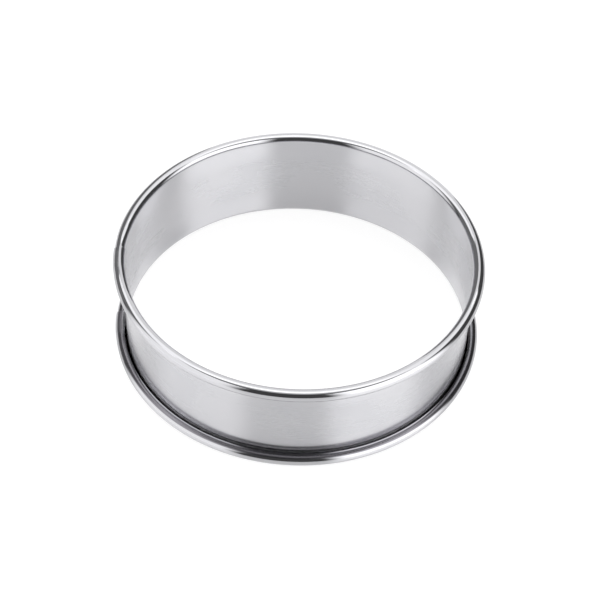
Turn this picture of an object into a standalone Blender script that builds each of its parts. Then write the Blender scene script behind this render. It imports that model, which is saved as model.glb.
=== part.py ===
"""Tart ring: one strip of thin stainless sheet, bent round until its ends lap, with a bead rolled
outward round a wire along each edge. Three spot welds hold the lap.

Metres, +Z up. The origin is on the ring's axis, in the plane that the lower bead stands on."""

import math

import bmesh
import bpy
from mathutils import Matrix, Vector

# The ring
BORE_DIAMETER = 0.080
RING_HEIGHT = 0.0245
SHEET = 0.0003

# The beads, each rolled round its wire
WIRE_DIAMETER = 0.0016
WIRE_CLEARANCE = 0.0003
STANDING_FLAT = 0.0006
LIP_CLEARANCE = 0.0001

# The lap, from the end that shows to the end that is tucked under it
LAP_ANGLE = math.radians(179.0)
LAP_LENGTH = 0.0053
LAP_GAP = 0.00005
LAP_SHIFT = 0.00015
JOGGLE_LENGTH = 0.0009
WIRE_END_CLEARANCE = 0.0010

# The spot welds, in a row up the middle of the lap
WELD_DIAMETER = 0.0022
WELD_CLEARANCE = 0.0001
WELD_TO_BEAD = 0.0032
WELD_BEVEL = 0.00008

# How finely the round shapes are divided
RING_STEPS = 64
FIRST_ARC_STEPS = 3
SECOND_ARC_STEPS = 8
WIRE_BEVEL_RESOLUTION = 2
WELD_SIDES = 20

# Sizes that follow from those above
BORE_RADIUS = BORE_DIAMETER / 2
BEAD_RADIUS = WIRE_DIAMETER / 2 + WIRE_CLEARANCE + SHEET
BEAD_CENTRE_RADIUS = BORE_RADIUS + BEAD_RADIUS
FLAT_HALF_ANGLE = math.asin(STANDING_FLAT / 2 / BEAD_RADIUS)
BEAD_CENTRE_HEIGHT = BEAD_RADIUS * math.cos(FLAT_HALF_ANGLE)
TUCK = SHEET + LAP_GAP
LAP_END_ANGLE = LAP_ANGLE + LAP_LENGTH / BEAD_CENTRE_RADIUS
JOGGLE_ANGLE = JOGGLE_LENGTH / BEAD_CENTRE_RADIUS
WIRE_END_ANGLE = JOGGLE_ANGLE + WIRE_END_CLEARANCE / BEAD_CENTRE_RADIUS
FULL_TURN = 2 * math.pi


def clear_scene():
    for old in list(bpy.data.objects):
        bpy.data.objects.remove(old)


def collection(name):
    made = bpy.data.collections.new(name)
    bpy.context.scene.collection.children.link(made)
    return made


def metal(name, colour, roughness):
    made = bpy.data.materials.new(name)
    made.use_nodes = True
    shader = made.node_tree.nodes["Principled BSDF"]
    shader.inputs["Base Color"].default_value = (*colour, 1)
    shader.inputs["Metallic"].default_value = 1.0
    shader.inputs["Roughness"].default_value = roughness
    return made


def add(name, data, material, where, parent):
    made = bpy.data.objects.new(name, data)
    where.objects.link(made)
    made.parent = parent
    data.materials.append(material)
    return made


def mesh_from(name, shape):
    data = bpy.data.meshes.new(name)
    shape.to_mesh(data)
    shape.free()
    return data


def lip_angle():
    """How far the curl turns from the wall before its lip would meet the second layer of the lap."""
    from_wall = 2 * SHEET + LAP_GAP + LIP_CLEARANCE
    return FULL_TURN - math.acos(1 - from_wall / BEAD_RADIUS)


def evenly(first, last, steps):
    return [first + (last - first) * i / steps for i in range(steps + 1)]


def bead_turns():
    """Angles round a bead, from the wall, past the flat that the ring stands on, to the lip."""
    to_flat = evenly(0, math.pi / 2 - FLAT_HALF_ANGLE, FIRST_ARC_STEPS)
    from_flat = evenly(math.pi / 2 + FLAT_HALF_ANGLE, lip_angle(), SECOND_ARC_STEPS)
    return to_flat + from_flat


def section(bead_radius):
    """The sheet's outer line as (radius, height) points, from the lower lip up the wall to the upper lip."""
    lower = [
        (
            BEAD_CENTRE_RADIUS - bead_radius * math.cos(turn),
            BEAD_CENTRE_HEIGHT - bead_radius * math.sin(turn),
        )
        for turn in bead_turns()
    ]
    upper = [(radius, RING_HEIGHT - height) for radius, height in lower]
    return lower[::-1] + upper


def stations():
    """Where the strip's sections stand: (angle, outward shift, bead radius), from end to end."""
    shown = [(LAP_ANGLE, LAP_SHIFT, BEAD_RADIUS), (LAP_END_ANGLE, LAP_SHIFT, BEAD_RADIUS)]
    first = LAP_END_ANGLE + JOGGLE_ANGLE
    last = LAP_ANGLE + FULL_TURN - JOGGLE_ANGLE
    plain = [(angle, 0, BEAD_RADIUS) for angle in evenly(first, last, RING_STEPS)]
    tucked = [(angle + FULL_TURN, shift, radius - TUCK) for angle, shift, radius in shown]
    return shown + plain + tucked


def ring_band(material, where, parent):
    """The strip, lofted through its stations and given the sheet's thickness on the side away from the bore."""
    shape = bmesh.new()
    rows = []
    for angle, shift, bead_radius in stations():
        turned = Matrix.Rotation(angle, 3, "Z")
        rows.append(
            [shape.verts.new(turned @ Vector((radius + shift, 0, height))) for radius, height in section(bead_radius)]
        )
    for row, following in zip(rows, rows[1:]):
        for i in range(len(row) - 1):
            shape.faces.new((row[i], row[i + 1], following[i + 1], following[i]))
    data = mesh_from("ring_band", shape)
    data.shade_smooth()
    data.set_sharp_from_angle(angle=math.radians(35))
    band = add("ring_band", data, material, where, parent)
    thickness = band.modifiers.new("sheet", "SOLIDIFY")
    thickness.thickness = SHEET
    thickness.offset = -1
    thickness.use_even_offset = True
    return band


def bead_wire(name, height, material, where, parent):
    """An open ring of wire, whose ends stop short of the lap."""
    data = bpy.data.curves.new(name, "CURVE")
    data.dimensions = "3D"
    data.bevel_depth = WIRE_DIAMETER / 2
    data.bevel_resolution = WIRE_BEVEL_RESOLUTION
    data.use_fill_caps = True
    first = LAP_END_ANGLE + WIRE_END_ANGLE
    last = LAP_ANGLE + FULL_TURN - WIRE_END_ANGLE
    path = data.splines.new("POLY")
    path.points.add(RING_STEPS)
    for point, angle in zip(path.points, evenly(first, last, RING_STEPS)):
        x = BEAD_CENTRE_RADIUS * math.cos(angle)
        y = BEAD_CENTRE_RADIUS * math.sin(angle)
        point.co = (x, y, 0, 1)
    path.use_smooth = True
    wire = add(name, data, material, where, parent)
    wire.location = (0, 0, height)
    return wire


def weld_mesh(name, diameter, length):
    """A round plug along X, through the lap."""
    shape = bmesh.new()
    bmesh.ops.create_cone(
        shape,
        cap_ends=True,
        segments=WELD_SIDES,
        radius1=diameter / 2,
        radius2=diameter / 2,
        depth=length,
        matrix=Matrix.Rotation(math.pi / 2, 4, "Y"),
    )
    return mesh_from(name, shape)


def seat_on_lap(piece, height):
    """Puts a plug at this height in the middle of the lap, which is flat, with its length along the radius."""
    middle = (LAP_ANGLE + LAP_END_ANGLE) / 2
    to_flat = math.cos((LAP_END_ANGLE - LAP_ANGLE) / 2)
    radius = (BORE_RADIUS + LAP_SHIFT + SHEET + LAP_GAP / 2) * to_flat
    piece.location = (radius * math.cos(middle), radius * math.sin(middle), height)
    piece.rotation_euler = (0, 0, middle)


def spot_weld(name, height, band, material, where, cutters, parent):
    """A weld nugget through both layers of the lap, in a hole that is cut for it in the band."""
    plug = add(name, weld_mesh(name, WELD_DIAMETER, 2 * SHEET + LAP_GAP), material, where, parent)
    plug.data.shade_smooth()
    plug.data.set_sharp_from_angle(angle=math.radians(35))
    seat_on_lap(plug, height)
    rounding = plug.modifiers.new("rounded rim", "BEVEL")
    rounding.width = WELD_BEVEL
    rounding.segments = 2
    hole_diameter = WELD_DIAMETER + 2 * WELD_CLEARANCE
    hole = add(name + "_hole", weld_mesh(name + "_hole", hole_diameter, 2 * BEAD_RADIUS), material, cutters, parent)
    seat_on_lap(hole, height)
    hole.hide_render = True
    hole.display_type = "WIRE"
    cut = band.modifiers.new(name, "BOOLEAN")
    cut.operation = "DIFFERENCE"
    cut.object = hole
    return plug


def main():
    clear_scene()
    parts = collection("tart_ring")
    cutters = collection("tart_ring_cutters")
    origin = bpy.data.objects.new("tart_ring_origin", None)
    parts.objects.link(origin)
    sheet_steel = metal("satin stainless sheet", (0.638, 0.635, 0.657), 0.25)
    wire_steel = metal("drawn wire", (0.60, 0.60, 0.61), 0.34)
    weld_steel = metal("spot weld", (0.52, 0.51, 0.505), 0.36)

    band = ring_band(sheet_steel, parts, origin)
    bead_wire("upper_bead_wire", RING_HEIGHT - BEAD_CENTRE_HEIGHT, wire_steel, parts, origin)
    bead_wire("lower_bead_wire", BEAD_CENTRE_HEIGHT, wire_steel, parts, origin)
    bead_top = BEAD_CENTRE_HEIGHT + BEAD_RADIUS
    heights = {
        "spot_weld_upper": RING_HEIGHT - bead_top - WELD_TO_BEAD,
        "spot_weld_middle": RING_HEIGHT / 2,
        "spot_weld_lower": bead_top + WELD_TO_BEAD,
    }
    for name, height in heights.items():
        spot_weld(name, height, band, weld_steel, parts, cutters, origin)


main()
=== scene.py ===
"""A tart ring in satin stainless steel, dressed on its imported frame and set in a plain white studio.

Metres, +Z up. The ring stands on the floor at z = 0 with its axis on Z. The camera looks from -Y."""

import math

import bmesh
import bpy
from mathutils import Matrix, Vector


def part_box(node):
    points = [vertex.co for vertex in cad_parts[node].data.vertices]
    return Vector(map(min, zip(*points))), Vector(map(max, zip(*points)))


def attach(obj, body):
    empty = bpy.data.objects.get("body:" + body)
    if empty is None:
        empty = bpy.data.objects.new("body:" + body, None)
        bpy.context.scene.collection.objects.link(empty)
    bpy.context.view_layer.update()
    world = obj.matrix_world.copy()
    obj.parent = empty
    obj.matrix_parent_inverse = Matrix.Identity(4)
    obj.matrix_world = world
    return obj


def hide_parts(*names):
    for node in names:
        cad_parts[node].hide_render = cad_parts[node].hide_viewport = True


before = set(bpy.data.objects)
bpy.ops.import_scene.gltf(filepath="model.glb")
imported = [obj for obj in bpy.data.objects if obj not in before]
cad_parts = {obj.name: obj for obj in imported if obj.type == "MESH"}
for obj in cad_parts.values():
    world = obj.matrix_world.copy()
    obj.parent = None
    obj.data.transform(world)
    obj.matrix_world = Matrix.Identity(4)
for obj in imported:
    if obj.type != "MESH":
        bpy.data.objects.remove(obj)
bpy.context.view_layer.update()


# The ring band is one strip of thin stainless sheet. Both long edges are curled outward round a wire until
# the lip bears on the wall, and the strip is bent round until its ends lap. The walls keep the mill's satin
# rolling grain, and the curling rolls have burnished the beads bright and left the lips rougher. The lips'
# colour is also darkened with painted shade, in the crease where each bead turns back against the wall.
SHEET = 0.0003
BORE_RADIUS = 0.040
BEAD_RADIUS = 0.0014
BEAD_CENTRE_RADIUS = BORE_RADIUS + BEAD_RADIUS
ROUND_TURN = math.radians(228)
ROUND_STEPS = 34
LIP_TURN = math.radians(18)
LIP_LENGTH = 0.00060
TIP_TURN = math.radians(62)
TIP_LENGTH = 0.00105
LIP_STEPS = 10
RING_STEPS = 360
LAP_ANGLE = math.radians(179.0)
LAP_LENGTH = 0.0053
LAP_TURN = LAP_LENGTH / BEAD_CENTRE_RADIUS
LAP_SHIFT = 0.00006
LAP_STEPS = 12
SHOWING_END_SHARE = 0.5
LAYER_GAP = 0.00003
TUCK = SHEET * SHOWING_END_SHARE + LAYER_GAP
LIP_TO_TUCKED_WALL = 0.0001
SHOWING_STEP_LENGTH = 0.0028
SHOWING_STEP_TURN = SHOWING_STEP_LENGTH / BEAD_CENTRE_RADIUS
TUCKED_STEP_LENGTH = 0.0080
TUCKED_STEP_TURN = TUCKED_STEP_LENGTH / BEAD_CENTRE_RADIUS
STEP_CUTS = 14
CUT_EDGE_ROUNDING = 0.00006
SAME_POINT = 0.000001

band_low, band_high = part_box("ring_band")
RING_HEIGHT = band_high.z - band_low.z


def smooth(share):
    """The share of a step that is made by now, where the step starts and ends softly."""
    return share * share * (3 - 2 * share)


def across_sheet(vert, depth):
    """Moves a point of the strip across the sheet's thickness, into the bead or out from the wall."""
    outward = Vector((vert.co.x, vert.co.y, 0)).normalized()
    upward = Vector((0, 0, 1 if vert.co.z > RING_HEIGHT / 2 else -1))
    vert.co += (outward * math.cos(vert[curl]) - upward * math.sin(vert[curl])) * depth


def curl_on(tip, turned, turn, length, steps):
    """Curls the sheet's edge on from this tip, by this turn over this length, and returns the new tip."""
    to_centre = Vector((math.cos(turned), 0, math.sin(turned)))
    already = len(strip.verts)
    bmesh.ops.spin(
        strip,
        geom=[tip],
        cent=tip.co + to_centre * length / turn,
        axis=(0, 1, 0),
        angle=-turn,
        steps=steps,
        use_merge=False,
    )
    strip.verts.ensure_lookup_table()
    for step, vert in enumerate(strip.verts[already:], start=1):
        vert[curl] = turned + turn * step / steps
    return strip.verts[-1]


def carry_on(row, turn):
    """Lengthens the strip from its end row by this turn round the ring, and returns the new end row."""
    made = bmesh.ops.extrude_edge_only(strip, edges=row)["geom"]
    verts = [item for item in made if isinstance(item, bmesh.types.BMVert)]
    bmesh.ops.rotate(strip, verts=verts, cent=(0, 0, 0), matrix=Matrix.Rotation(turn, 3, "Z"))
    fresh = set(verts)
    edges = [item for item in made if isinstance(item, bmesh.types.BMEdge) and set(item.verts) <= fresh]
    return verts, edges


def push_out(verts, distance):
    """Moves points straight out from the ring's axis."""
    for vert in verts:
        vert.co += Vector((vert.co.x, vert.co.y, 0)).normalized() * distance


def draw_lip_back(verts, before, after):
    """Draws the lips of the showing end back to this radius, so that they clear the tucked end's wall."""
    for vert in verts:
        flat = Vector((vert.co.x, vert.co.y, 0))
        if vert[curl] > ROUND_TURN and flat.length < bend_radius:
            shorter = (bend_radius - flat.length) * (before - after) / (bend_radius - before)
            vert.co -= flat.normalized() * shorter


strip = bmesh.new()
curl = strip.verts.layers.float.new("curl")
lapped = strip.verts.layers.float.new("lapped")
thinned = strip.verts.layers.deform.verify()
wall_middle = strip.verts.new((BORE_RADIUS, 0, RING_HEIGHT / 2))
bead_foot = strip.verts.new((BORE_RADIUS, 0, BEAD_RADIUS))
strip.edges.new((wall_middle, bead_foot))
tip = curl_on(bead_foot, 0, ROUND_TURN, ROUND_TURN * BEAD_RADIUS, ROUND_STEPS)
bend = curl_on(tip, ROUND_TURN, LIP_TURN, LIP_LENGTH, LIP_STEPS)
tip = curl_on(bend, ROUND_TURN + LIP_TURN, TIP_TURN, TIP_LENGTH, LIP_STEPS)
bend_radius = bend.co.x
lip_radius = tip.co.x
half = strip.verts[:] + strip.edges[:]
to_middle = Matrix.Translation((0, 0, -RING_HEIGHT / 2))
bmesh.ops.mirror(strip, geom=half, matrix=to_middle, merge_dist=0, axis="Z")
bmesh.ops.remove_doubles(strip, verts=strip.verts, dist=SAME_POINT)
first_angle = LAP_ANGLE + LAP_TURN + SHOWING_STEP_TURN
plain_turn = 2 * math.pi - LAP_TURN - SHOWING_STEP_TURN - TUCKED_STEP_TURN
bmesh.ops.rotate(strip, verts=strip.verts, cent=(0, 0, 0), matrix=Matrix.Rotation(first_angle, 3, "Z"))
start_row = strip.edges[:]
turned_strip = bmesh.ops.spin(
    strip,
    geom=start_row,
    cent=(0, 0, 0),
    axis=(0, 0, 1),
    angle=plain_turn,
    steps=RING_STEPS,
    use_merge=False,
)
end_row = [item for item in turned_strip["geom_last"] if isinstance(item, bmesh.types.BMEdge)]

# the showing end steps out over the tucked one and thins out
drawn_back = TUCK + SHEET + LIP_TO_TUCKED_WALL - (lip_radius - BORE_RADIUS)
row = start_row
for step in range(STEP_CUTS):
    verts, row = carry_on(row, -SHOWING_STEP_TURN / STEP_CUTS)
    before = smooth(step / STEP_CUTS)
    share = smooth((step + 1) / STEP_CUTS)
    draw_lip_back(verts, lip_radius + drawn_back * before, lip_radius + drawn_back * share)
    push_out(verts, LAP_SHIFT * (share - before))
    for vert in verts:
        vert[lapped] = share
        vert[thinned][0] = share
for step in range(LAP_STEPS):
    verts, row = carry_on(row, -LAP_TURN / LAP_STEPS)

# the tucked end is pressed in by what the showing end needs to go round it
row = end_row
for step in range(STEP_CUTS):
    verts, row = carry_on(row, TUCKED_STEP_TURN / STEP_CUTS)
    change = smooth((step + 1) / STEP_CUTS) - smooth(step / STEP_CUTS)
    push_out(verts, LAP_SHIFT * change)
    for vert in verts:
        across_sheet(vert, TUCK * change)
for step in range(LAP_STEPS):
    verts, row = carry_on(row, LAP_TURN / LAP_STEPS)

bmesh.ops.recalc_face_normals(strip, faces=strip.faces)
band_mesh = bpy.data.meshes.new("band")
strip.to_mesh(band_mesh)
strip.free()
band_mesh.shade_smooth()
band = bpy.data.objects.new("band", band_mesh)
bpy.context.scene.collection.objects.link(band)
thickness = band.modifiers.new("sheet", "SOLIDIFY")
thickness.thickness = SHEET
thickness.offset = -1
thickness.use_even_offset = True
band.vertex_groups.new(name="thinned")
thickness.vertex_group = "thinned"
thickness.invert_vertex_group = True
thickness.thickness_vertex_group = SHOWING_END_SHARE
rounding = band.modifiers.new("cut edges", "BEVEL")
rounding.width = CUT_EDGE_ROUNDING
rounding.segments = 2
rounding.limit_method = "ANGLE"
rounding.angle_limit = math.radians(60)
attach(band, "root")
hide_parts("ring_band")

SATIN_COLOUR = (0.638, 0.635, 0.657)
SATIN_ROUGHNESS = 0.27
SATIN_STRETCH = 0.4
QUARTER_TURN = 0.25
GRAIN_LENGTH = 0.014
GRAIN_WIDTH = 0.00009
GRAIN_DEPTH = 0.00000008
GRAIN_SHADE = (0.988, 0.988, 0.99)
GRAIN_ROUGHNESS = 0.012
HANDLED_SIZE = 0.018
HANDLED_SHADE = (0.965, 0.968, 0.972)
HANDLED_ROUGHNESS = 0.02
FOOT_ROUGHNESS = 0.16
FOOT_HEIGHT = 0.0034
FOOT_BLEND = 0.0045
BURNISHED_ROUGHNESS = 0.06
BURNISHED_FROM = math.radians(4)
BURNISHED_TO = math.radians(30)
LAP_ROUGHNESS = 0.15
LIP_ROUGHNESS = 0.20
# The next colour is painted shade: it darkens the lips in the crease between each bead and the wall.
LIP_PAINTED_SHADE = (0.40, 0.39, 0.41)
LIP_DULL_AND_SHADED_FROM = math.radians(226)
LIP_DULL_AND_SHADED_FADE_IN = math.radians(5)
LIP_DULL_AND_SHADED_TO = math.radians(270)
LIP_DULL_AND_SHADED_FADE_OUT = math.radians(14)
MOST_OF_NOISE = (0.3, 0.7)
MIDDLE_OF_NOISE = (0.35, 0.65)


def steel(name, colour, roughness):
    """A steel with the given base colour and roughness, and its shader for the finish to be wired to."""
    made = bpy.data.materials.new(name)
    made.use_nodes = True
    shader = made.node_tree.nodes["Principled BSDF"]
    shader.inputs["Base Color"].default_value = (*colour, 1)
    shader.inputs["Metallic"].default_value = 1.0
    shader.inputs["Roughness"].default_value = roughness
    return made, made.node_tree, shader


def worked_out(tree, operation, *values):
    """The result of one sum, each of whose values is a number or a node's output."""
    node = tree.nodes.new("ShaderNodeMath")
    node.operation = operation
    for socket, value in zip(node.inputs, values):
        if isinstance(value, bpy.types.NodeSocket):
            tree.links.new(value, socket)
        else:
            socket.default_value = value
    return node.outputs[0]


def ramp(tree, value, first, last, start, end):
    """Goes smoothly from start to end while the value goes from first to last."""
    node = tree.nodes.new("ShaderNodeMapRange")
    node.interpolation_type = "SMOOTHSTEP"
    for name, number in (("From Min", first), ("From Max", last), ("To Min", start), ("To Max", end)):
        node.inputs[name].default_value = number
    tree.links.new(value, node.inputs["Value"])
    return node.outputs["Result"]


def about(middle, reach):
    """A start and an end as far below and above a middle value."""
    return middle - reach, middle + reach


def mixed(tree, share, first, second):
    """Goes from the first value to the second as the share goes from 0 to 1."""
    node = tree.nodes.new("ShaderNodeMix")
    for name, value in (("Factor", share), ("A", first), ("B", second)):
        if isinstance(value, bpy.types.NodeSocket):
            tree.links.new(value, node.inputs[name])
        else:
            node.inputs[name].default_value = value
    return node.outputs["Result"]


def shaded(tree, colour, share, by):
    """The colour, multiplied by another where the share is 1."""
    node = tree.nodes.new("ShaderNodeMix")
    node.data_type = "RGBA"
    node.blend_type = "MULTIPLY"
    tree.links.new(share, node.inputs["Factor"])
    if isinstance(colour, bpy.types.NodeSocket):
        tree.links.new(colour, node.inputs["A"])
    else:
        node.inputs["A"].default_value = (*colour, 1)
    node.inputs["B"].default_value = (*by, 1)
    return node.outputs["Result"]


def round_grain(tree, length, width):
    """Streaks that run round the ring, as rolling and drawing leave them, cut at the strip's end."""
    place = tree.nodes.new("ShaderNodeTexCoord")
    aligned = tree.nodes.new("ShaderNodeVectorRotate")
    aligned.rotation_type = "Z_AXIS"
    aligned.inputs["Angle"].default_value = math.pi - LAP_ANGLE
    tree.links.new(place.outputs["Object"], aligned.inputs["Vector"])
    parts = tree.nodes.new("ShaderNodeSeparateXYZ")
    tree.links.new(aligned.outputs[0], parts.inputs[0])
    x, y, z = parts.outputs
    angle = worked_out(tree, "ARCTAN2", y, x)
    squares = worked_out(tree, "MULTIPLY", x, x), worked_out(tree, "MULTIPLY", y, y)
    radius = worked_out(tree, "SQRT", worked_out(tree, "ADD", *squares))
    laid_out = tree.nodes.new("ShaderNodeCombineXYZ")
    tree.links.new(worked_out(tree, "MULTIPLY", angle, BORE_RADIUS / length), laid_out.inputs[0])
    tree.links.new(worked_out(tree, "DIVIDE", z, width), laid_out.inputs[1])
    tree.links.new(worked_out(tree, "DIVIDE", radius, width), laid_out.inputs[2])
    streaks = tree.nodes.new("ShaderNodeTexNoise")
    streaks.inputs["Scale"].default_value = 1.0
    streaks.inputs["Detail"].default_value = 3.0
    tree.links.new(laid_out.outputs[0], streaks.inputs["Vector"])
    return streaks.outputs["Fac"]


def clouds(tree, size, detail):
    """Soft uneven patches, of about this size."""
    place = tree.nodes.new("ShaderNodeTexCoord")
    patches = tree.nodes.new("ShaderNodeTexNoise")
    patches.inputs["Scale"].default_value = 1 / size
    patches.inputs["Detail"].default_value = detail
    tree.links.new(place.outputs["Object"], patches.inputs["Vector"])
    return patches.outputs["Fac"]


def relief(tree, height, depth, shader):
    """Lets a pattern stand out of the surface by this depth."""
    bump = tree.nodes.new("ShaderNodeBump")
    bump.inputs["Strength"].default_value = 1.0
    bump.inputs["Distance"].default_value = depth
    tree.links.new(height, bump.inputs["Height"])
    tree.links.new(bump.outputs["Normal"], shader.inputs["Normal"])


satin, tree, shader = steel("satin_sheet", SATIN_COLOUR, SATIN_ROUGHNESS)
curled = tree.nodes.new("ShaderNodeAttribute")
curled.attribute_name = "curl"
in_bead = ramp(tree, curled.outputs["Fac"], BURNISHED_FROM, BURNISHED_TO, 0, 1)
on_wall = worked_out(tree, "SUBTRACT", 1, in_bead)
grain = round_grain(tree, GRAIN_LENGTH, GRAIN_WIDTH)
handling = clouds(tree, HANDLED_SIZE, 3)
colour = shaded(tree, SATIN_COLOUR, ramp(tree, handling, *MIDDLE_OF_NOISE, 0, 1), HANDLED_SHADE)
wall_grain = worked_out(tree, "MULTIPLY", on_wall, ramp(tree, grain, *MOST_OF_NOISE, 0, 1))
colour = shaded(tree, colour, wall_grain, GRAIN_SHADE)
# Where the lip turns back against the wall it is rougher, and its colour is darkened here by painted shade.
not_yet_tip = ramp(tree, curled.outputs["Fac"], LIP_DULL_AND_SHADED_TO, LIP_DULL_AND_SHADED_TO + LIP_DULL_AND_SHADED_FADE_OUT, 1, 0)
on_lip = ramp(tree, curled.outputs["Fac"], LIP_DULL_AND_SHADED_FROM, LIP_DULL_AND_SHADED_FROM + LIP_DULL_AND_SHADED_FADE_IN, 0, 1)
dull_and_painted_shade = worked_out(tree, "MULTIPLY", on_lip, not_yet_tip)
colour = shaded(tree, colour, dull_and_painted_shade, LIP_PAINTED_SHADE)
tree.links.new(colour, shader.inputs["Base Color"])
by_grain = ramp(tree, grain, *MOST_OF_NOISE, *about(0, GRAIN_ROUGHNESS))
by_handling = ramp(tree, handling, *MOST_OF_NOISE, *about(SATIN_ROUGHNESS, HANDLED_ROUGHNESS))
wall_roughness = worked_out(tree, "ADD", by_grain, by_handling)
by_handling = ramp(tree, handling, *MOST_OF_NOISE, -HANDLED_ROUGHNESS / 2, HANDLED_ROUGHNESS)
bead_roughness = worked_out(tree, "ADD", by_handling, BURNISHED_ROUGHNESS)
end_of_strip = tree.nodes.new("ShaderNodeAttribute")
end_of_strip.attribute_name = "lapped"
bead_roughness = mixed(tree, end_of_strip.outputs["Fac"], bead_roughness, LAP_ROUGHNESS)
place = tree.nodes.new("ShaderNodeTexCoord")
parts = tree.nodes.new("ShaderNodeSeparateXYZ")
tree.links.new(place.outputs["Object"], parts.inputs[0])
above_middle = worked_out(tree, "SUBTRACT", parts.outputs["Z"], RING_HEIGHT / 2)
from_middle = worked_out(tree, "ABSOLUTE", above_middle)
foot_from = RING_HEIGHT / 2 - FOOT_HEIGHT - FOOT_BLEND
near_bead = ramp(tree, from_middle, foot_from, foot_from + FOOT_BLEND, 0, 1)
wall_roughness = mixed(tree, near_bead, wall_roughness, FOOT_ROUGHNESS)
roughness = mixed(tree, in_bead, wall_roughness, bead_roughness)
lip_roughness = mixed(tree, end_of_strip.outputs["Fac"], LIP_ROUGHNESS, 2 * LIP_ROUGHNESS)
tree.links.new(mixed(tree, dull_and_painted_shade, roughness, lip_roughness), shader.inputs["Roughness"])
shader.inputs["Anisotropic"].default_value = SATIN_STRETCH
shader.inputs["Anisotropic Rotation"].default_value = QUARTER_TURN
round_the_ring = tree.nodes.new("ShaderNodeTangent")
round_the_ring.direction_type = "RADIAL"
round_the_ring.axis = "Z"
tree.links.new(round_the_ring.outputs["Tangent"], shader.inputs["Tangent"])
relief(tree, worked_out(tree, "MULTIPLY", grain, on_wall), GRAIN_DEPTH, shader)
band_mesh.materials.append(satin)


# Each bead is rolled round a plain drawn steel wire, which stiffens the ring and stops just short of the
# lap. The wires are the frame's own solids, with the long marks of the drawing die.
DRAWN_COLOUR = (0.60, 0.60, 0.61)
DRAWN_ROUGHNESS = 0.34
DRAWN_ROUGHNESS_REACH = 0.08
DRAWN_SHADE = (0.82, 0.81, 0.80)
MARK_LENGTH = 0.02
MARK_WIDTH = 0.0001
MARK_DEPTH = 0.000003
DEEPER_MARKS = (0.35, 0.7)

drawn, tree, shader = steel("drawn_wire", DRAWN_COLOUR, DRAWN_ROUGHNESS)
marks = round_grain(tree, MARK_LENGTH, MARK_WIDTH)
marked = shaded(tree, DRAWN_COLOUR, ramp(tree, marks, *DEEPER_MARKS, 0, 1), DRAWN_SHADE)
tree.links.new(marked, shader.inputs["Base Color"])
roughness = ramp(tree, marks, *MOST_OF_NOISE, *about(DRAWN_ROUGHNESS, DRAWN_ROUGHNESS_REACH))
tree.links.new(roughness, shader.inputs["Roughness"])
relief(tree, marks, MARK_DEPTH, shader)
for name in ("upper_bead_wire", "lower_bead_wire"):
    wire = bpy.data.objects[name]
    wire.data.materials.clear()
    wire.data.materials.append(drawn)


# Three spot welds hold the lap, in a row up its middle. Each nugget is a round button of fused sheet
# through both layers, pressed slightly hollow by the electrodes. It is dull, and the heat has left a faint
# straw tint in the sheet round it.
NUGGET_DIAMETER = 0.0023
NUGGET_TO_HOLE = 0.00002
NUGGET_RIM = 0.0003
NUGGET_HOLLOW = 0.00003
NUGGET_SIDES = 48
LAP_THICKNESS = TUCK + SHEET
WELDED_COLOUR = (0.52, 0.51, 0.505)
WELDED_ROUGHNESS = 0.36
SCALE_SIZE = 0.0004
SCALE_DEPTH = 0.000006
SCALE_SHADE = (0.78, 0.74, 0.70)
SCALE_SMOOTHER = 0.08
SCALE_ROUGHER = 0.1
TINT_REACH = 0.0026
TINT_STRENGTH = 0.7
STRAW_TINT = (1.0, 0.93, 0.80)

lap_middle = LAP_ANGLE + LAP_TURN / 2
lap_depth = BORE_RADIUS + LAP_SHIFT + LAP_THICKNESS / 2
weld_places = {}
for name in ("spot_weld_upper", "spot_weld_middle", "spot_weld_lower"):
    low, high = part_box(name)
    x, y = lap_depth * math.cos(lap_middle), lap_depth * math.sin(lap_middle)
    weld_places[name] = Vector((x, y, (low.z + high.z) / 2))


def plug(place, diameter, length):
    """A round plug along the radius, through the middle of the lap."""
    shape = bmesh.new()
    along_radius = Matrix.Rotation(lap_middle, 4, "Z") @ Matrix.Rotation(math.pi / 2, 4, "Y")
    bmesh.ops.create_cone(
        shape,
        cap_ends=True,
        segments=NUGGET_SIDES,
        radius1=diameter / 2,
        radius2=diameter / 2,
        depth=length,
        matrix=Matrix.Translation(place) @ along_radius,
    )
    return shape


welded, tree, shader = steel("welded_steel", WELDED_COLOUR, WELDED_ROUGHNESS)
scale = clouds(tree, SCALE_SIZE, 4)
scaled = shaded(tree, WELDED_COLOUR, ramp(tree, scale, *MIDDLE_OF_NOISE, 0, 1), SCALE_SHADE)
tree.links.new(scaled, shader.inputs["Base Color"])
smoothest, roughest = WELDED_ROUGHNESS - SCALE_SMOOTHER, WELDED_ROUGHNESS + SCALE_ROUGHER
tree.links.new(ramp(tree, scale, *MOST_OF_NOISE, smoothest, roughest), shader.inputs["Roughness"])
relief(tree, scale, SCALE_DEPTH, shader)

for name, place in weld_places.items():
    shape = plug(place, NUGGET_DIAMETER, LAP_THICKNESS)
    faces = [face for face in shape.faces if len(face.verts) == NUGGET_SIDES]
    for depth in (0, -NUGGET_HOLLOW):
        bmesh.ops.inset_region(shape, faces=faces, thickness=NUGGET_RIM, depth=depth, use_even_offset=True)
    nugget_mesh = bpy.data.meshes.new(name.replace("spot_weld", "nugget"))
    shape.to_mesh(nugget_mesh)
    shape.free()
    nugget_mesh.shade_smooth()
    nugget_mesh.set_sharp_from_angle(angle=math.radians(40))
    nugget = bpy.data.objects.new(nugget_mesh.name, nugget_mesh)
    bpy.context.scene.collection.objects.link(nugget)
    nugget_mesh.materials.append(welded)
    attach(nugget, "root")
    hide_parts(name)

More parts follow.
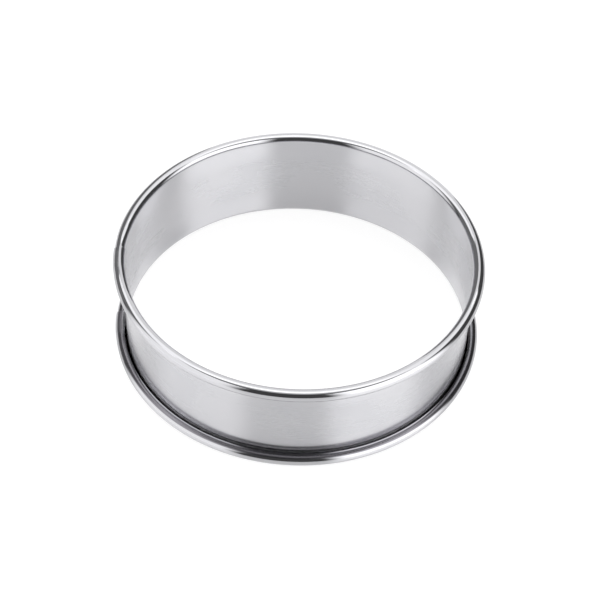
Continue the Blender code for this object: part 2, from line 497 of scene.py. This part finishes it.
# the holes that the nuggets sit in are cut through both layers of the band, and the cutter is thrown away
shape = bmesh.new()
for place in weld_places.values():
    hole = plug(place, NUGGET_DIAMETER + 2 * NUGGET_TO_HOLE, 3 * LAP_THICKNESS)
    hole_mesh = bpy.data.meshes.new("hole")
    hole.to_mesh(hole_mesh)
    hole.free()
    shape.from_mesh(hole_mesh)
    bpy.data.meshes.remove(hole_mesh)
cutter_mesh = bpy.data.meshes.new("weld_holes")
shape.to_mesh(cutter_mesh)
shape.free()
cutter = bpy.data.objects.new("weld_holes", cutter_mesh)
bpy.context.scene.collection.objects.link(cutter)
cut = band.modifiers.new("weld holes", "BOOLEAN")
cut.operation = "DIFFERENCE"
cut.object = cutter
finished = bpy.data.meshes.new_from_object(band.evaluated_get(bpy.context.evaluated_depsgraph_get()))
band.modifiers.clear()
band.data = finished
bpy.data.meshes.remove(band_mesh)
bpy.data.objects.remove(cutter)
bpy.data.meshes.remove(cutter_mesh)
finished.name = "band"
finished.set_sharp_from_angle(angle=math.radians(35))

tree = satin.node_tree
shader = tree.nodes["Principled BSDF"]
here = tree.nodes.new("ShaderNodeTexCoord")
nearest = None
for place in weld_places.values():
    away = tree.nodes.new("ShaderNodeVectorMath")
    away.operation = "DISTANCE"
    away.inputs[1].default_value = place
    tree.links.new(here.outputs["Object"], away.inputs[0])
    reached = away.outputs["Value"]
    nearest = reached if nearest is None else worked_out(tree, "MINIMUM", nearest, reached)
heated = ramp(tree, nearest, NUGGET_DIAMETER / 2, TINT_REACH, TINT_STRENGTH, 0)
tree.links.new(shaded(tree, colour, heated, STRAW_TINT), shader.inputs["Base Color"])


# The floor is plain white and runs out into a white room. It keeps a faint shadow of the ring. The steel
# mirrors it as a slightly glossy floor, which is paler near the ring's foot where it mirrors the softboxes.
FLOOR_HALF = 1.5
FLOOR_MATT = 0.26
FLOOR_GLOW = 0.83
FLOOR_ROUGHNESS = 0.5
MIRRORED_MATT = 0.62
MIRRORED_GLOW = 0.38
MIRRORED_GLOSS = 3.4
MIRRORED_ROUGHNESS = 0.15
FADE_FROM = 0.15
FADE_TO = 0.5
FILL = 0.45

floor_shape = bmesh.new()
bmesh.ops.create_grid(floor_shape, x_segments=1, y_segments=1, size=FLOOR_HALF)
floor_mesh = bpy.data.meshes.new("floor")
floor_shape.to_mesh(floor_mesh)
floor_shape.free()
floor = bpy.data.objects.new("floor", floor_mesh)
bpy.context.scene.collection.objects.link(floor)


def seen_or_mirrored(tree):
    """1 for rays from the camera and rays that metal or glass sends on, and 0 for light on the floor."""
    path = tree.nodes.new("ShaderNodeLightPath").outputs
    either = worked_out(tree, "MAXIMUM", path["Is Camera Ray"], path["Is Glossy Ray"])
    return worked_out(tree, "MAXIMUM", either, path["Is Transmission Ray"])


def even_grey(level):
    """A grey of this level, as a colour socket takes it."""
    return (level, level, level, 1)


def blended(tree, share, first, second):
    """Goes from the first shader to the second as the share goes from 0 to 1."""
    node = tree.nodes.new("ShaderNodeMixShader")
    for socket, value in zip(node.inputs, (share, first, second)):
        tree.links.new(value, socket)
    return node.outputs[0]


white = bpy.data.materials.new("white floor")
white.use_nodes = True
tree = white.node_tree
seen = tree.nodes["Principled BSDF"]
seen.inputs["Base Color"].default_value = even_grey(FLOOR_MATT)
seen.inputs["Roughness"].default_value = FLOOR_ROUGHNESS
seen.inputs["Emission Color"].default_value = even_grey(FLOOR_GLOW)
mirrored = tree.nodes.new("ShaderNodeBsdfPrincipled")
mirrored.inputs["Base Color"].default_value = even_grey(MIRRORED_MATT)
mirrored.inputs["Roughness"].default_value = MIRRORED_ROUGHNESS
mirrored.inputs["IOR"].default_value = MIRRORED_GLOSS
mirrored.inputs["Emission Color"].default_value = even_grey(MIRRORED_GLOW)
for glow in (seen, mirrored):
    tree.links.new(seen_or_mirrored(tree), glow.inputs["Emission Strength"])
path = tree.nodes.new("ShaderNodeLightPath")
both = blended(tree, path.outputs["Is Camera Ray"], mirrored.outputs[0], seen.outputs[0])
plain = tree.nodes.new("ShaderNodeEmission")
tree.links.new(seen_or_mirrored(tree), plain.inputs["Strength"])
place = tree.nodes.new("ShaderNodeTexCoord")
reach = tree.nodes.new("ShaderNodeVectorMath")
reach.operation = "LENGTH"
tree.links.new(place.outputs["Object"], reach.inputs[0])
far_out = ramp(tree, reach.outputs["Value"], FADE_FROM, FADE_TO, 0, 1)
surface = blended(tree, far_out, both, plain.outputs[0])
tree.links.new(surface, tree.nodes["Material Output"].inputs["Surface"])
floor_mesh.materials.append(white)

world = bpy.data.worlds.new("white room")
world.use_nodes = True
tree = world.node_tree
room = tree.nodes["Background"]
room.inputs["Color"].default_value = even_grey(1)
fill = tree.nodes.new("ShaderNodeBackground")
fill.inputs["Color"].default_value = even_grey(1)
fill.inputs["Strength"].default_value = FILL
surroundings = blended(tree, seen_or_mirrored(tree), fill.outputs[0], room.outputs[0])
tree.links.new(surroundings, tree.nodes["World Output"].inputs["Surface"])
bpy.context.scene.world = world


# Three softboxes light the ring, one standing on each side and a large one hung overhead and behind. The
# camera doesn't see them.
BOX_DISTANCE = 0.6
BOX_HEIGHT = 0.96
RIGHT_AZIMUTH = 54.5
RIGHT_WIDTH = 0.52
RIGHT_RADIANCE = 1.66
LEFT_AZIMUTH = -65
LEFT_WIDTH = 0.61
LEFT_RADIANCE = 1.17
OVERHEAD_WIDTH = 1.1
OVERHEAD_DEPTH = 0.64
OVERHEAD_RADIANCE = 1.22
OVERHEAD_PLACE = (0, 0.30, 0.7)


def softbox(name, width, height, radiance):
    """A rectangle of light of this size, whose power follows from how bright its face is."""
    data = bpy.data.lights.new(name, "AREA")
    data.shape = "RECTANGLE"
    data.size = width
    data.size_y = height
    data.energy = radiance * math.pi * width * height
    lamp = bpy.data.objects.new(name, data)
    lamp.visible_camera = False
    bpy.context.scene.collection.objects.link(lamp)
    return lamp


def stand_at(piece, azimuth):
    """Stands a softbox at this azimuth (0 is the camera's side, 90 the right), facing the ring."""
    angle = math.radians(azimuth)
    place = Vector((BOX_DISTANCE * math.sin(angle), -BOX_DISTANCE * math.cos(angle), BOX_HEIGHT / 2))
    piece.location = place
    piece.rotation_euler = Vector((place.x, place.y, 0)).to_track_quat("Z", "Y").to_euler()


overhead = softbox("overhead_softbox", OVERHEAD_WIDTH, OVERHEAD_DEPTH, OVERHEAD_RADIANCE)
overhead.location = OVERHEAD_PLACE
stand_at(softbox("right_softbox", RIGHT_WIDTH, BOX_HEIGHT, RIGHT_RADIANCE), RIGHT_AZIMUTH)
stand_at(softbox("left_softbox", LEFT_WIDTH, BOX_HEIGHT, LEFT_RADIANCE), LEFT_AZIMUTH)


# Both standing boxes fade out at their sides, on strips of diffusing cloth. Only mirror rays see the cloth,
# so the bright streaks on the beads end softly.
DARK = 0.07
NEAR_FADE = 0.20
FAR_FADE = 0.25


def glowing_cloth(name, shape, axis, first, last, start, end):
    """Cloth that only mirror rays see, whose brightness goes from start to end along one of its axes."""
    data = bpy.data.meshes.new(name)
    shape.to_mesh(data)
    shape.free()
    made = bpy.data.materials.new(name)
    made.use_nodes = True
    tree = made.node_tree
    tree.nodes.remove(tree.nodes["Principled BSDF"])
    place = tree.nodes.new("ShaderNodeTexCoord")
    parts = tree.nodes.new("ShaderNodeSeparateXYZ")
    tree.links.new(place.outputs["Object"], parts.inputs[0])
    glow = tree.nodes.new("ShaderNodeEmission")
    tree.links.new(ramp(tree, parts.outputs[axis], first, last, start, end), glow.inputs["Strength"])
    tree.links.new(glow.outputs[0], tree.nodes["Material Output"].inputs["Surface"])
    data.materials.append(made)
    cloth = bpy.data.objects.new(name, data)
    bpy.context.scene.collection.objects.link(cloth)
    cloth.visible_camera = False
    cloth.visible_diffuse = False
    cloth.visible_shadow = False
    return cloth


def fading_edge(name, side, width, box_azimuth, box_width, radiance):
    """A cloth strip beside a standing box, on one side of it, from the box's brightness to dark."""
    shape = bmesh.new()
    bmesh.ops.create_grid(shape, x_segments=1, y_segments=1, size=0.5)
    start = side * box_width / 2
    bmesh.ops.scale(shape, vec=(width, BOX_HEIGHT, 1), verts=shape.verts)
    bmesh.ops.translate(shape, vec=(start + side * width / 2, 0, 0), verts=shape.verts)
    edge = glowing_cloth(name, shape, "X", start, start + side * width, radiance, DARK)
    stand_at(edge, box_azimuth)


fading_edge("right_near_edge", -1, NEAR_FADE, RIGHT_AZIMUTH, RIGHT_WIDTH, RIGHT_RADIANCE)
fading_edge("right_far_edge", 1, FAR_FADE, RIGHT_AZIMUTH, RIGHT_WIDTH, RIGHT_RADIANCE)
fading_edge("left_near_edge", 1, NEAR_FADE, LEFT_AZIMUTH, LEFT_WIDTH, LEFT_RADIANCE)
fading_edge("left_far_edge", -1, FAR_FADE, LEFT_AZIMUTH, LEFT_WIDTH, LEFT_RADIANCE)


# Dark curtains hang round the studio, so that the steel has something dark to mirror. They are pale at the
# very top of the room, and only mirror rays see them.
CURTAIN_DISTANCE = 1.2
CURTAIN_SEGMENTS = 120
CURTAIN_RINGS = 60
PALER_FROM = 1.04
OVERHEAD_GREY = 0.75
LEFT_BACK_GREY = 0.2


def curtain(name, first, last, lowest, highest, grey):
    """Part of a dome, between two azimuths and two elevations."""
    shape = bmesh.new()
    bmesh.ops.create_uvsphere(
        shape, u_segments=CURTAIN_SEGMENTS, v_segments=CURTAIN_RINGS, radius=CURTAIN_DISTANCE
    )
    away = []
    for face in shape.faces:
        centre = face.calc_center_median()
        azimuth = math.degrees(math.atan2(centre.x, -centre.y))
        elevation = math.degrees(math.asin(centre.z / centre.length))
        turn = (azimuth - first) % 360
        if not (turn < last - first and lowest < elevation < highest):
            away.append(face)
    bmesh.ops.delete(shape, geom=away, context="FACES")
    glowing_cloth(name, shape, "Z", PALER_FROM, CURTAIN_DISTANCE, grey, OVERHEAD_GREY)


curtain("front_curtain", -108, 156, 0, 90, DARK)
curtain("left_back_curtain", -168, -108, 0, 90, LEFT_BACK_GREY)
curtain("back_curtain", 156, 192, 48, 90, DARK)


# The camera looks down on the ring from the front. Its height, roll, distance and shift were fitted to the
# outlines of both beads.
CAMERA_ELEVATION = math.radians(46.208)
CAMERA_ROLL = math.radians(2.504)
CAMERA_DISTANCE = 0.524
LENS = 134.5
SENSOR = 36.0
PIXELS = 600
RING_CENTRE_PIXEL = (298.1, 292.7)

ring_middle = Vector((0, 0, RING_HEIGHT / 2))
towards_camera = Vector((0, -math.cos(CAMERA_ELEVATION), math.sin(CAMERA_ELEVATION)))
camera = bpy.data.objects.new("camera", bpy.data.cameras.new("camera"))
camera.data.lens = LENS
camera.data.sensor_width = SENSOR
camera.data.clip_start = 0.01
camera.data.clip_end = 20
bpy.context.scene.collection.objects.link(camera)
turn = towards_camera.to_track_quat("Z", "Y") @ Matrix.Rotation(CAMERA_ROLL, 3, "Z").to_quaternion()
camera.rotation_euler = turn.to_euler()
camera.location = ring_middle + towards_camera * CAMERA_DISTANCE
camera.data.shift_x = (PIXELS / 2 - RING_CENTRE_PIXEL[0]) / PIXELS
camera.data.shift_y = (RING_CENTRE_PIXEL[1] - PIXELS / 2) / PIXELS
bpy.context.scene.camera = camera

bpy.context.scene.view_settings.view_transform = "Standard"
